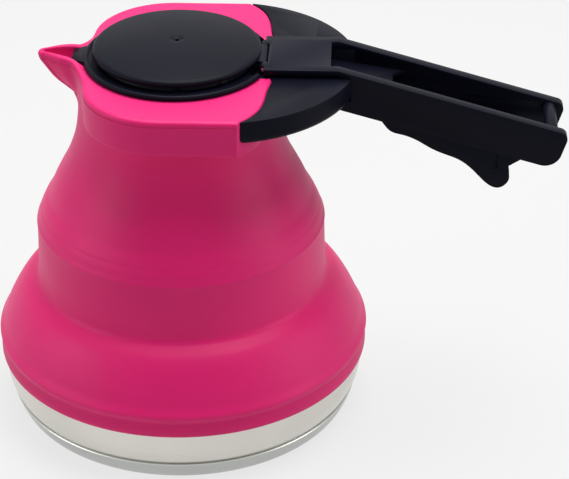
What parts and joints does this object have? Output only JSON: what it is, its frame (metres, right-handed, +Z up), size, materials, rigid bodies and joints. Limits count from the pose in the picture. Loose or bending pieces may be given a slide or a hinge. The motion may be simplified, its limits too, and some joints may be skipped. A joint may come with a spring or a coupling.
{
  "type": "collapsible kettle",
  "caption": "Collapsible kettle with a flat steel base, a stepped silicone body that folds flat, a spout, a lever-opened domed lid and an open two-rail handle.",
  "frame": {"origin": "centre of the base's flat underside, on the axis of the round body", "axes": "+Z up along the body axis, +X from the body towards the handle, so the spout points along -X"},
  "size_m": [0.2344, 0.1556, 0.1661],
  "materials": {
    "base_steel": "spun satin steel",
    "pan_steel": "fine spun steel, lightly polished",
    "base_aluminium": "plain",
    "pin_steel": "plain drawn steel",
    "pink_silicone": "matte food-grade silicone",
    "black_plastic": "satin moulded plastic",
    "seal_rubber": "matte"
  },
  "bodies": {
    "base": {"base_plate": "base_steel", "base_core": "base_aluminium", "base_pan": "pan_steel", "clamp_ring": "pan_steel", "silicone_base_ring": "pink_silicone"},
    "middle": {"silicone_lower_fold": "pink_silicone", "silicone_mid_ring": "pink_silicone"},
    "head": {"silicone_upper_fold": "pink_silicone", "silicone_neck": "pink_silicone", "silicone_rim": "pink_silicone", "silicone_spout": "pink_silicone", "handle_collar": "black_plastic", "handle_frame": "black_plastic", "end_rod": "black_plastic", "trigger_pin": "pin_steel", "collar_screws": "pin_steel", "trigger_spring": "pin_steel", "lid_hinge_pins": "pin_steel"},
    "trigger": {"trigger_lever": "black_plastic", "link_pin_rear": "pin_steel"},
    "link": {"lid_link": "black_plastic"},
    "lid": {"lid_base": "black_plastic", "lid_cap": "black_plastic", "lid_screws": "pin_steel", "lid_seal": "seal_rubber", "link_pin_front": "pin_steel"}
  },
  "joints": [
    {"name": "base_fold", "type": "slide", "parent": "base", "child": "middle", "axis": [0, 0, -1], "range_m": [0, 0.046], "deforming": ["silicone_lower_fold"]},
    {"name": "neck_fold", "type": "slide", "parent": "middle", "child": "head", "axis": [0, 0, -1], "range_m": [0, 0.046], "deforming": ["silicone_upper_fold"]},
    {"name": "trigger_squeeze", "type": "hinge", "parent": "head", "child": "trigger", "pos_m": [0.0695, 0, 0.1448], "axis": [0, -1, 0], "range_deg": [0, 12], "stiffness_Nm_per_rad": 0.15, "springref_deg": -8.59, "deforming": ["trigger_spring"]},
    {"name": "lid_tilt", "type": "hinge", "parent": "head", "child": "lid", "pos_m": [0.0349, 0, 0.159], "axis": [0, 1, 0], "range_deg": [0, 48]},
    {"name": "link_swing", "type": "hinge", "parent": "trigger", "child": "link", "pos_m": [0.056, 0, 0.1563], "axis": [0, 1, 0], "range_deg": [0, 20.4]}
  ],
  "couplings": [
    {"joint": "lid_tilt", "follows": "trigger_squeeze", "ratio": 4},
    {"joint": "link_swing", "follows": "trigger_squeeze", "ratio": 1.69}
  ]
}
